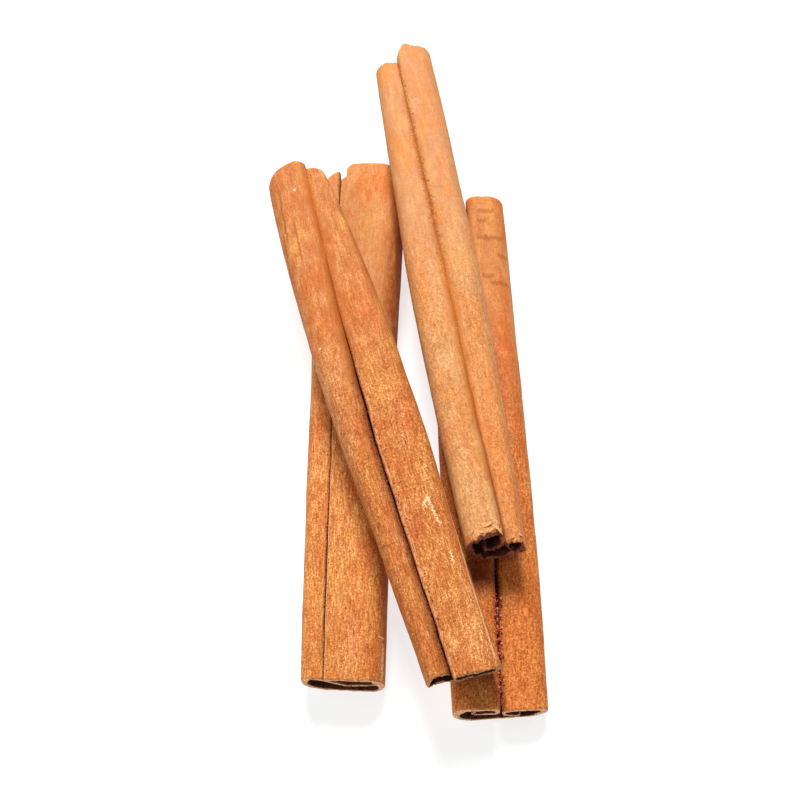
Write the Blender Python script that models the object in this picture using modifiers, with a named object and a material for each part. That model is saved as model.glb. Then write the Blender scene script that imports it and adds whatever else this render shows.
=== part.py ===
# Stack of four rolled cinnamon sticks, laid across one another as they fell.
# Each stick is one sheet of bark, rolled inwards from both of its long edges, so that an end
# shows two rolls side by side with a seam between them. Metres, +Z up, +Y along the sticks.
# The origin is on the surface, under the middle of the stack.

import math

import bmesh
import bpy
from mathutils import Vector

MM = 0.001
STACK = "cinnamon_sticks"

SEAM_GAP = 0.36          # mm of air between the two rolls where they meet
LAYER_GAP = 0.55         # mm of air between the lip of a roll and the wall outside it
BEND_STEPS = 4           # straight pieces in a quarter turn of the bark
GENTLE_STEPS = 2         # straight pieces in a bend of much less than a quarter turn
LENGTH_STEPS = 13        # lengths of mesh from one end of a stick to the other
LEAST_RUN = 0.35         # mm of straight bark between two bends
LIP_WEAR = 8             # the higher, the closer to its corner a lip is worn back
TUCK_RADIUS = 1.5        # mm, of the bends of a lip that slides under the other roll
TUCK_RISE = 4            # degrees that a tucked lip climbs again inside the other roll
FLAT_SPLIT = 0.7         # share of a roll's flat top at which its worn lip begins
SHARP_ANGLE = 50         # degrees between faces, above which an edge is drawn sharp
ROUGHNESS = 0.72         # of the dry bark

# Headings of the path round a roll on the right, as (x, z).
OUT = (1, 0)
UP = (0, 1)
BACK = (-1, 0)
DOWN = (0, -1)

# Widths, heights and the seam's place are given at stations spread evenly from the near end of a
# stick to its far end. All sizes are mm, all angles degrees.
#   near, far     middle of each end, seen from above
#   bow           how far the middle of the stick lies to the right of a straight line
#   lift          how high the underside stands at the near end and at the far end
#   bark          thickness of the sheet
#   width         across both rolls
#   seam          share of that width that the left roll takes
#   left, right   one roll each:
#     height      of the roll at the stations
#     foot        width and depth of its rounded bottom corner, as shares of the roll's own
#     crown       width and depth of its rounded top corner, as shares of the roll's own
#     shoulder    width and depth of the bend that goes down into the seam
#     hook        width and depth of the bend that turns the lip outwards again, inside the roll
#     turned      degrees that the lip has turned since the underside, at the near and far end
#     reach       length of the straight lip after that
#     dip         degrees that a tucked lip slopes down before the seam, in place of a hook
#     tucked      lengths of that lip before the slope, on it, and after it
#   near_cut,
#   far_cut       how far each roll stands back from the end, at its underside, side, top and lip
STICKS = {
    "stick_left": dict(
        near=(-8.03, -47.11), far=(-6.01, 32.89), bow=-0.32, lift=(0.0, 0.0), bark=0.95,
        width=(11.55, 11.95, 12.1, 12.8, 13.8), seam=(0.25, 0.26, 0.26, 0.25, 0.24),
        left=dict(height=(6.15, 6.6, 6.95, 7.4, 8.0), foot=(1.90, 0.56), crown=(0.42, 0.32),
                  dip=34, tucked=(0.45, 3.0, 3.0)),
        right=dict(height=(6.4, 6.9, 7.3, 7.8, 8.5), foot=(0.20, 0.36), crown=(0.36, 0.56),
                   shoulder=(1.6, 1.6), turned=(184, 186)),
        near_cut=((0.1, 0.2, 0.0, 0.5), (0.0, 0.2, 0.0, 0.1)),
        far_cut=((0.4, 0.6, 0.1, 0.9), (0.3, 0.2, 0.0, 2.8)),
        colour=(0.560, 0.262, 0.098),
    ),
    "stick_right": dict(
        near=(13.39, -51.01), far=(9.64, 28.44), bow=0.20, lift=(0.0, 0.0), bark=0.95,
        width=(13.2, 13.3, 12.9, 12.3, 12.0), seam=(0.505, 0.53, 0.53, 0.525, 0.51),
        left=dict(height=(6.3, 6.4, 6.3, 6.1, 5.9), foot=(0.44, 0.44), crown=(0.36, 0.46),
                  shoulder=(1.1, 1.2), hook=(1.0, 1.0), turned=(350, 340), reach=1.7),
        right=dict(height=(4.7, 5.0, 5.3, 5.7, 5.9), foot=(0.46, 0.46), crown=(0.44, 0.46),
                   shoulder=(1.1, 1.0), hook=(1.0, 0.9), turned=(345, 350), reach=1.2),
        near_cut=((0.0, 0.2, 0.0, 0.5), (0.2, 0.3, 0.1, 0.6)),
        far_cut=((0.2, 0.4, 0.0, 0.6), (0.2, 0.3, 0.0, 0.7)),
        colour=(0.510, 0.205, 0.072),
    ),
    "stick_slanting": dict(
        near=(8.29, -47.71), far=(-16.36, 29.24), bow=0.0, lift=(6.70, 8.75), bark=0.85,
        width=(10.3, 10.9, 12.2, 11.4, 8.8), seam=(0.34, 0.36, 0.40, 0.49, 0.66),
        left=dict(height=(5.9, 6.0, 6.1, 6.2, 6.5), foot=(0.50, 0.46), crown=(0.40, 0.44),
                  shoulder=(1.0, 1.4), hook=(0.9, 1.0), turned=(285, 345), reach=0.8),
        right=dict(height=(4.9, 5.3, 5.7, 5.8, 5.5), foot=(0.26, 0.44), crown=(0.26, 0.46),
                   shoulder=(0.9, 0.9), hook=(0.9, 0.8), turned=(350, 310), reach=1.6),
        near_cut=((1.2, 0.5, 0.0, 0.6), (0.8, 0.4, 0.0, 0.6)),
        far_cut=((0.6, 1.9, 0.2, 1.0), (1.8, 2.6, 1.6, 2.2)),
        colour=(0.530, 0.222, 0.078),
    ),
    "stick_top": dict(
        near=(12.79, -29.76), far=(-0.16, 51.24), bow=0.0, lift=(6.68, 8.32), bark=0.85,
        width=(8.6, 9.8, 10.5, 9.9, 8.75), seam=(0.65, 0.55, 0.52, 0.46, 0.39),
        left=dict(height=(5.6, 5.5, 5.4, 5.2, 4.9), foot=(0.46, 0.46), crown=(0.40, 0.46),
                  shoulder=(1.5, 1.6), hook=(1.1, 1.0), turned=(355, 300), reach=1.0),
        right=dict(height=(4.9, 5.2, 5.5, 5.5, 5.4), foot=(0.46, 0.46), crown=(0.40, 0.46),
                   shoulder=(1.1, 1.5), hook=(1.0, 1.1), turned=(285, 350), reach=0.9),
        near_cut=((1.7, 2.0, 1.7, 1.3), (0.3, 0.0, 0.0, 0.8)),
        far_cut=((2.5, 2.7, 2.6, 2.9), (0.4, 0.9, 0.0, 1.9)),
        colour=(0.640, 0.318, 0.130),
    ),
}


def between(values, v):
    """Smooth value at v, 0 at the near end and 1 at the far end, through evenly spread stations."""
    spans = len(values) - 1
    k = min(int(v * spans), spans - 1)
    t = v * spans - k
    p1 = values[k]
    p2 = values[k + 1]
    p0 = values[k - 1] if k > 0 else 2 * p1 - p2
    p3 = values[k + 2] if k + 2 <= spans else 2 * p2 - p1
    slope_1 = (p2 - p0) / 2
    slope_2 = (p3 - p1) / 2
    return ((2 * t ** 3 - 3 * t ** 2 + 1) * p1 + (t ** 3 - 2 * t ** 2 + t) * slope_1
            + (3 * t ** 2 - 2 * t ** 3) * p2 + (t ** 3 - t ** 2) * slope_2)


def bend(path, leave, arrive, reach, swing, sweep, steps):
    """Carries the path round part of a quarter ellipse, from one direction towards another."""
    x, z = path[-1]
    for step in range(1, steps + 1):
        angle = math.radians(sweep) * step / steps
        forward = reach * math.sin(angle)
        aside = swing * (1 - math.cos(angle))
        path.append((x + leave[0] * forward + arrive[0] * aside,
                     z + leave[1] * forward + arrive[1] * aside))
    across = reach * math.cos(math.radians(sweep))
    along = swing * math.sin(math.radians(sweep))
    heading = Vector((leave[0] * across + arrive[0] * along, leave[1] * across + arrive[1] * along))
    return heading.normalized()


def run(path, heading, distance):
    x, z = path[-1]
    path.append((x + heading[0] * distance, z + heading[1] * distance))


def tucked_lip(path, roll):
    """Slides the rest of the sheet down and under the lip of the other roll."""
    before, slope, after = roll["tucked"]
    run(path, BACK, before)
    heading = bend(path, BACK, DOWN, TUCK_RADIUS, TUCK_RADIUS, roll["dip"], GENTLE_STEPS)
    run(path, heading, slope)
    level_out = Vector((heading.y, -heading.x))
    sweep = roll["dip"] + TUCK_RISE
    heading = bend(path, heading, level_out, TUCK_RADIUS, TUCK_RADIUS, sweep, GENTLE_STEPS)
    run(path, heading, after)


def hooked_lip(path, roll, bark, wide, turned):
    """Takes the sheet down at the seam and turns its lip outwards again inside the roll."""
    crown_x = roll["crown"][0] * wide
    shoulder_x = min(roll["shoulder"][0], wide - crown_x - LEAST_RUN)
    run(path, BACK, wide - crown_x - shoulder_x)
    bend(path, BACK, DOWN, shoulder_x, roll["shoulder"][1], 90, BEND_STEPS)
    hook_x, hook_z = roll["hook"]
    heading = bend(path, DOWN, OUT, hook_z, hook_x, turned - 270, BEND_STEPS)
    room = wide - bark - LAYER_GAP - hook_x
    run(path, heading, min(roll["reach"], max(room, LEAST_RUN)))


def roll_path(roll, bark, width, height, v):
    """Middle line of one roll, for a roll on the right: x from the seam outwards, z up."""
    seam_wall = (bark + SEAM_GAP) / 2
    wide = width - bark / 2 - seam_wall
    tall = height - bark
    foot_x, foot_z = roll["foot"][0] * wide, roll["foot"][1] * tall
    crown_x, crown_z = roll["crown"][0] * wide, roll["crown"][1] * tall
    path = [(seam_wall + wide - foot_x, bark / 2)]
    bend(path, OUT, UP, foot_x, foot_z, 90, BEND_STEPS)
    run(path, UP, max(tall - foot_z - crown_z, LEAST_RUN))
    bend(path, UP, BACK, crown_z, crown_x, 90, BEND_STEPS)
    if "tucked" in roll:
        tucked_lip(path, roll)
        return path
    turned = roll["turned"][0] + (roll["turned"][1] - roll["turned"][0]) * v
    if "hook" in roll:
        hooked_lip(path, roll, bark, wide, turned)
        return path
    shoulder_x, shoulder_z = roll["shoulder"]
    top_run = wide - crown_x - shoulder_x
    run(path, BACK, top_run * FLAT_SPLIT)
    run(path, BACK, top_run * (1 - FLAT_SPLIT))
    heading = bend(path, BACK, DOWN, shoulder_x, shoulder_z, turned - 180, GENTLE_STEPS)
    run(path, heading, shoulder_x)
    return path


def shares_of_length(path):
    """How far along the path each of its points lies, from 0 to 1."""
    steps = [math.dist(a, b) for a, b in zip(path, path[1:])]
    travelled = [sum(steps[:count]) for count in range(len(path))]
    return [distance / travelled[-1] for distance in travelled]


def stands_back(cuts, share):
    """How far the cut end stands back at this share of a roll. The lip's corner wears off locally."""
    underside, side, top, lip = cuts
    return between((underside, side, top, top), share) + (lip - top) * share ** LIP_WEAR


def section(stick, v, cuts):
    """Middle line of the whole sheet at v, as (x, z, how far it stands back), mm."""
    width = between(stick["width"], v)
    seam = between(stick["seam"], v)
    seam_x = width * (seam - 0.5)
    rolls = []
    for index, (side, share) in enumerate((("left", seam), ("right", 1 - seam))):
        roll = stick[side]
        path = roll_path(roll, stick["bark"], width * share, between(roll["height"], v), v)
        sign = -1 if side == "left" else 1
        backs = [stands_back(cuts[index], share) if cuts else 0.0 for share in shares_of_length(path)]
        rolls.append([(seam_x + sign * x, z, back) for (x, z), back in zip(path, backs)])
    return rolls[0][::-1] + rolls[1]


def ring(stick, v):
    """World places of the sheet's middle line at v, in metres."""
    near = Vector((*stick["near"], stick["lift"][0]))
    far = Vector((*stick["far"], stick["lift"][1]))
    length = (far - near).length
    along = (far - near) / length
    across = Vector((along.y, -along.x, 0)).normalized()
    upward = across.cross(along)
    middle = near + along * length * v + across * stick["bow"] * 4 * v * (1 - v)
    cuts = {0: stick["near_cut"], 1: stick["far_cut"]}.get(v)
    inwards = 1 if v == 0 else -1
    return [(middle + across * x + upward * z + along * inwards * back) * MM
            for x, z, back in section(stick, v, cuts)]


def bark_material(name, colour):
    material = bpy.data.materials.new(name)
    material.use_nodes = True
    shader = material.node_tree.nodes["Principled BSDF"]
    shader.inputs["Base Color"].default_value = (*colour, 1.0)
    shader.inputs["Roughness"].default_value = ROUGHNESS
    shader.inputs["Metallic"].default_value = 0.0
    return material


def make_stick(name, stick, collection):
    """Draws the sheet's near edge, carries it along the stick and thickens it."""
    mesh = bmesh.new()
    row = [mesh.verts.new(place) for place in ring(stick, 0)]
    edges = [mesh.edges.new(pair) for pair in zip(row, row[1:])]
    for step in range(1, LENGTH_STEPS + 1):
        targets = ring(stick, step / LENGTH_STEPS)
        made = bmesh.ops.extrude_edge_only(mesh, edges=edges)["geom"]
        new_verts = {item for item in made if isinstance(item, bmesh.types.BMVert)}
        row = [next(edge.other_vert(vert) for edge in vert.link_edges
                    if edge.other_vert(vert) in new_verts) for vert in row]
        for vert, target in zip(row, targets):
            vert.co = target
        edges = [item for item in made if isinstance(item, bmesh.types.BMEdge)
                 and item.verts[0] in new_verts and item.verts[1] in new_verts]
    bmesh.ops.recalc_face_normals(mesh, faces=mesh.faces)
    data = bpy.data.meshes.new(name)
    mesh.to_mesh(data)
    mesh.free()
    data.shade_smooth()
    data.set_sharp_from_angle(angle=math.radians(SHARP_ANGLE))
    data.materials.append(bark_material(name.replace("stick", "bark"), stick["colour"]))
    obj = bpy.data.objects.new(name, data)
    collection.objects.link(obj)
    sheet = obj.modifiers.new("bark thickness", "SOLIDIFY")
    sheet.thickness = stick["bark"] * MM
    sheet.offset = 0.0
    sheet.use_even_offset = True
    sheet.use_quality_normals = True
    return obj


def main():
    for obj in list(bpy.data.objects):
        bpy.data.objects.remove(obj, do_unlink=True)
    collection = bpy.data.collections.new(STACK)
    bpy.context.scene.collection.children.link(collection)
    for name, stick in STICKS.items():
        make_stick(name, stick, collection)


main()
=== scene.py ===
import math

import bmesh
import bpy
import numpy as np
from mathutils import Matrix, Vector


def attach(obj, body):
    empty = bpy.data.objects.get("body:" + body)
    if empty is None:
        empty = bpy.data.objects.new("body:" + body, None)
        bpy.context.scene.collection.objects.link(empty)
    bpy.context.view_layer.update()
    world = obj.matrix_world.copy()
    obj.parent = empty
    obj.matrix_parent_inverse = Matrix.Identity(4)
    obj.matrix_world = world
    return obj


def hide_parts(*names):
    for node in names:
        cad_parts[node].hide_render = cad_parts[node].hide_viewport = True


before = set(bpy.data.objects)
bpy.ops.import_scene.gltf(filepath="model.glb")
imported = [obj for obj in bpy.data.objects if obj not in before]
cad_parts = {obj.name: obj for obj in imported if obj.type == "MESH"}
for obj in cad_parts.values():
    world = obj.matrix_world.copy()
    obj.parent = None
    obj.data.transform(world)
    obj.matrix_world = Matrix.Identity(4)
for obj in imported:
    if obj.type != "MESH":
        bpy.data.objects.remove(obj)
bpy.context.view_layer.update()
mm = 0.001
print("packed sticks loaded:", ", ".join(sorted(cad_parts)))


# The sheet of bark. Sizes are mm, angles degrees; lists of widths, heights and seam shares run
# from a stick's near end to its far end. Hills are given by their height, their width round the
# sheet and their length along it.

sheet = {
    "layerGap": 0.45,       # air between a rolled-in lip and the wall outside it
    "bendSteps": 14,        # straight pieces in a bend, before the line is spaced out evenly
    "runSteps": 6,          # the same, in a straight run
    "leastRun": 0.2,        # of straight bark between two bends
    "columns": 200,         # points round the sheet
    "layers": 4,            # pieces through its thickness, at the cut edges
    "ringSpacing": 0.40,    # along the stick
    "endSpacing": 0.11,     # the same, near the cut ends
    "endLength": 2.4,       # how far the finer rings reach
    "cutReach": 7.0,        # how far from the end a slanting cut still shifts the rings
    "tearReach": 1.5,       # how far from the end torn fibres do
    "lipReach": 0.3,        # how far past the seam a cut goes over into the lip's own
    "edgeWear": 0.11,       # how far the corners of a cut edge are rubbed off
    "edgeSwell": 0.07,      # how far the middle of a cut edge stands out
    "endRub": 0.13,         # how far along the stick the rubbing reaches
    "lipRub": 0.6,          # how many columns it reaches from a lip
    "cornerRub": 0.55,      # how much of the cut's colour its corners show
    "sharpTurn": (0.9, 1.2),        # turning of the face that starts to rub pale with a painted highlight, and how much more is full
    "uneven": (0.25, 1.5, 5),       # hills in the wall's thickness, as a share of it
    "waverHills": 30,               # bends of a wavering seam, end to end
    "outerHills": ((0.10, 6.5, 15), (0.05, 2.6, 5.5), (0.030, 0.95, 8), (0.018, 0.6, 3.1),
                   (0.022, 5.5, 1.3)),
    "innerHills": (0.03, 1.1, 4),
    "tears": ((0.42, 1.3, 0.3), (0.38, 0.42, 0.9)),     # depth, width, change from layer to layer
    "shadeSmooth": 55,              # edges up to this angle are shaded smoothly
    "leastUpward": 0.1,             # of a face that crumbs and flakes can lie on
    "mostPast": 0.5,                # widths of the seam's painted shade past it, the same
}
hillGrid = 128                      # random heights each way, before they repeat

outwards, upwards, backwards, downwards = (1, 0), (0, 1), (-1, 0), (0, -1)


def between(values, v):
    # smooth value at v, 0 at the near end and 1 at the far end, through evenly spread stations
    spans = len(values) - 1
    k = min(int(v * spans), spans - 1)
    t = v * spans - k
    p1, p2 = values[k], values[k + 1]
    p0 = values[k - 1] if k > 0 else 2 * p1 - p2
    p3 = values[k + 2] if k + 2 <= spans else 2 * p2 - p1
    slope1, slope2 = (p2 - p0) / 2, (p3 - p1) / 2
    return ((2 * t ** 3 - 3 * t ** 2 + 1) * p1 + (t ** 3 - 2 * t ** 2 + t) * slope1
            + (3 * t ** 2 - 2 * t ** 3) * p2 + (t ** 3 - t ** 2) * slope2)


def bend(line, leave, arrive, reach, swing, sweep):
    # carries the line round part of a quarter ellipse, from one heading towards another
    x, z = line[-1]
    for step in range(1, sheet["bendSteps"] + 1):
        angle = math.radians(sweep) * step / sheet["bendSteps"]
        forward, aside = reach * math.sin(angle), swing * (1 - math.cos(angle))
        line.append((x + leave[0] * forward + arrive[0] * aside,
                     z + leave[1] * forward + arrive[1] * aside))
    ahead = reach * math.cos(math.radians(sweep))
    sideways = swing * math.sin(math.radians(sweep))
    return Vector((leave[0] * ahead + arrive[0] * sideways,
                   leave[1] * ahead + arrive[1] * sideways)).normalized()


def run(line, heading, distance):
    # carries the line straight on
    x, z = line[-1]
    for step in range(1, sheet["runSteps"] + 1):
        line.append((x + heading[0] * distance * step / sheet["runSteps"],
                     z + heading[1] * distance * step / sheet["runSteps"]))


def rollLine(stick, roll, share, v):
    # middle line of one roll, as if on the right: x from the seam outwards, z up; and the number
    # of its last point before it passes out of sight into the seam
    bark = stick["bark"]
    seamWall = (bark + between(stick["gap"], v)) / 2
    wide = between(stick["width"], v) * share - bark / 2 - seamWall
    tall = between(roll["height"], v) - bark
    footX, footZ = roll["foot"][0] * wide, roll["foot"][1] * tall
    crownX, crownZ = roll["crown"][0] * wide, roll["crown"][1] * tall
    line = [(seamWall + wide - footX, bark / 2)]
    bend(line, outwards, upwards, footX, footZ, 90)
    run(line, upwards, max(tall - footZ - crownZ, sheet["leastRun"]))
    bend(line, upwards, backwards, crownZ, crownX, 90)
    if "tucked" in roll:        # dips under the other roll's sheet
        tuck = roll["tucked"]
        dip, edge, floor = tuck["dip"], tuck["edgeRadius"], tuck["floorRadius"]
        atSeam = edge * math.sin(math.radians(dip)) + tuck["short"]
        run(line, backwards, seamWall + wide - crownX - atSeam)
        heading = bend(line, backwards, downwards, edge, edge, dip)
        lastSeen = len(line) - 1
        run(line, heading, tuck["slope"])
        levelOut = Vector((heading.y, -heading.x))
        heading = bend(line, heading, levelOut, floor, floor, dip + tuck["rise"])
        run(line, heading, tuck["after"])
        return line, lastSeen
    shoulderX = min(between(roll["shoulder"][0], v), wide - crownX - sheet["leastRun"])
    shoulderZ = between(roll["shoulder"][1], v)
    turned = between(roll["turned"], v)
    run(line, backwards, wide - crownX - shoulderX)
    if "hook" in roll:          # turns down into the seam and curls on inside the roll
        bend(line, backwards, downwards, shoulderX, shoulderZ, 90)
        lastSeen = len(line) - 1
        run(line, downwards, roll["drop"])
        hookX, hookZ = roll["hook"]
        heading = bend(line, downwards, outwards, hookZ, hookX, turned - 270)
        radius, sweep = roll["curl"]
        room = wide - bark - sheet["layerGap"] - hookX - radius
        run(line, heading, min(roll["reach"], max(room, sheet["leastRun"])))
        bend(line, heading, Vector((-heading.y, heading.x)), radius, radius, sweep)
        return line, lastSeen
    # lies over the tucked sheet, drawn back from it by a slit and a notch at the far end
    heading = bend(line, backwards, downwards, shoulderX, shoulderZ, turned - 180)
    fromFar = (1 - v) * stickAxes(stick)[4]
    slit = roll["slit"]
    notched = min(max((slit["notchLong"] - fromFar) / slit["notchRound"], 0), 1)
    opening = slit["wide"] * max(0, 1 - fromFar / slit["long"])
    opening += (slit["notchWide"] - slit["wide"]) * notched
    run(line, heading, shoulderX + roll["over"] - opening)
    return line, len(line) - 1


def standsBack(cuts, reach, share, past):
    # how far a cut end stands back at this share of a roll and this far past its seam
    underside, side, top, atSeam, inside = cuts
    outer = between((underside, side, top, top), share)
    towardsSeam = min(max(1 + past / reach, 0), 1)
    beyondSeam = min(max(past / sheet["lipReach"], 0), 1)
    return outer + (atSeam - top) * towardsSeam ** 2 + (inside - atSeam) * beyondSeam


def travelled(points):
    steps = np.linalg.norm(np.diff(points, axis=0), axis=1)
    return np.concatenate(([0.0], np.cumsum(steps)))


def sheetLine(stick, v):
    # the whole sheet at v, from the left lip round to the right lip, spaced out evenly: its outer
    # face (x, z), the way out of it, how far its two ends stand back, how thick it is, and where it
    # is past the seam: -1 where the seam's painted shade starts, 0 at the seam
    seam, bark = seamShare(stick, v), stick["bark"]
    seamX = seamAcross(stick, v)
    rows = []
    for side, sign, share in (("left", -1, seam), ("right", 1, 1 - seam)):
        line, lastSeen = rollLine(stick, stick[side], share, v)
        line = np.array(line)
        lengths = travelled(line)
        pasts = lengths - lengths[lastSeen]
        near, far, reach = stick["nearCut"][side], stick["farCut"][side], stick["seamReach"]
        row = [(seamX + sign * x, z, standsBack(near, reach, s, past), standsBack(far, reach, s, past),
                between(stick["walls"][side], s), past / between(stick[side]["seamShade"], v))
               for (x, z), s, past in zip(line, lengths / lengths[-1], pasts)]
        rows.append(row)
    points = np.array(rows[0][::-1] + rows[1])
    lengths = travelled(points[:, :2])
    points = points[np.concatenate(([True], np.diff(lengths) > 1e-5))]
    heading = np.gradient(points[:, :2], axis=0)
    heading /= np.linalg.norm(heading, axis=1)[:, None]
    out = np.column_stack((heading[:, 1], -heading[:, 0]))
    face = points[:, :2] + out * bark / 2
    lengths = travelled(face)
    even = np.linspace(0, lengths[-1], sheet["columns"])
    table = np.column_stack((face, out, points[:, 2:]))
    spaced = np.column_stack([np.interp(even, lengths, column) for column in table.T])
    spaced[:, 2:4] /= np.linalg.norm(spaced[:, 2:4], axis=1)[:, None]
    return spaced, lengths[-1]


def ringPlaces(length):
    # places of the rings along a stick, closer together at its cut ends
    end = np.arange(0, sheet["endLength"], sheet["endSpacing"])
    count = round((length - 2 * sheet["endLength"]) / sheet["ringSpacing"])
    middle = np.linspace(sheet["endLength"], length - sheet["endLength"], count)
    return np.concatenate((end, middle, (length - end)[::-1]))


def hills(x, y, seed):
    # smooth random hills one unit apart, from -1 to 1
    heights = np.random.default_rng(seed).uniform(-1, 1, (hillGrid, hillGrid))
    x, y = np.broadcast_arrays(np.asarray(x, float), np.asarray(y, float))
    column, row = np.floor(x).astype(int), np.floor(y).astype(int)
    fx, fy = x - column, y - row
    fx, fy = fx * fx * (3 - 2 * fx), fy * fy * (3 - 2 * fy)

    def corner(a, b):
        return heights[(column + a) % hillGrid, (row + b) % hillGrid]

    low = corner(0, 0) * (1 - fx) + corner(1, 0) * fx
    high = corner(0, 1) * (1 - fx) + corner(1, 1) * fx
    return low * (1 - fy) + high * fy


def stickAxes(stick):
    near = Vector((*stick["near"], stick["lift"][0]))
    far = Vector((*stick["far"], stick["lift"][1]))
    along = (far - near).normalized()
    across = Vector((along.y, -along.x, 0)).normalized()
    return near, along, across, across.cross(along), (far - near).length


def bowed(stick, v):
    # how far a stick's own bend carries it sideways
    return stick["bow"] * 4 * v * (1 - v)


def placeOnStick(stick, x, y, z):
    # world place, in mm, of a point x across, y along and z above a stick's underside
    near, along, across, above, length = stickAxes(stick)
    return near + along * y + across * (x + bowed(stick, y / length)) + above * z


def seamShare(stick, v):
    # the left roll's part of the width, which wavers a little along the stick
    waver = stick["waver"] * float(hills(v * sheet["waverHills"], 0.5, stick["seed"] + 9))
    return between(stick["seam"], v) + waver / between(stick["width"], v)


def seamAcross(stick, v):
    return between(stick["width"], v) * (seamShare(stick, v) - 0.5)


def topOf(stick, x, y):
    # height of the face that is seen from above, x across and y along a stick: what looks up
    # and isn't inside a roll
    face = sheetLine(stick, y / stickAxes(stick)[4])[0]
    upward, past = face[:, 3], face[:, 7]
    seen = face[(upward > sheet["leastUpward"]) & (past < sheet["mostPast"])]
    seen = seen[np.argsort(seen[:, 0])]
    return float(np.interp(x, seen[:, 0], seen[:, 1]))


def relief(stick, around, along):
    # height of the outer and inner face over the plain sheet
    outer = [height * hills(around / wide, along / long, stick["seed"] + index)
             for index, (height, wide, long) in enumerate(sheet["outerHills"])]
    height, wide, long = sheet["innerHills"]
    inner = outer[0] + height * hills(around / wide, along / long, stick["seed"] + len(outer))
    return stick["relief"] * sum(outer), stick["relief"] * inner


def ragged(around, layer, seed):
    # torn fibres of a cut end, from 0 to about 1
    torn = sum((depth * hills(around / wide, layer * change, seed + index)
                for index, (depth, wide, change) in enumerate(sheet["tears"])), 0.5)
    return np.clip(torn, 0, 1.4)


def fade(distances, reach):
    # 1 at a cut end, 0 this far from it
    return np.clip(1 - distances / reach, 0, 1)[:, None]


def skin(number):
    # the four-sided faces all round a block of point numbers
    sides = (number[:, :, 0], number[:, :, -1], number[:, 0], number[:, -1], number[0], number[-1])
    return np.concatenate([
        np.stack((side[:-1, :-1], side[1:, :-1], side[1:, 1:], side[:-1, 1:]), -1).reshape(-1, 4)
        for side in sides]).tolist()


def turnOutwards(mesh):
    work = bmesh.new()
    work.from_mesh(mesh)
    bmesh.ops.recalc_face_normals(work, faces=work.faces)
    work.to_mesh(mesh)
    work.free()


def addPiece(name, mesh, finish):
    piece = bpy.data.objects.new(name, mesh)
    bpy.context.collection.objects.link(piece)
    mesh.materials.append(finish)
    return piece


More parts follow.
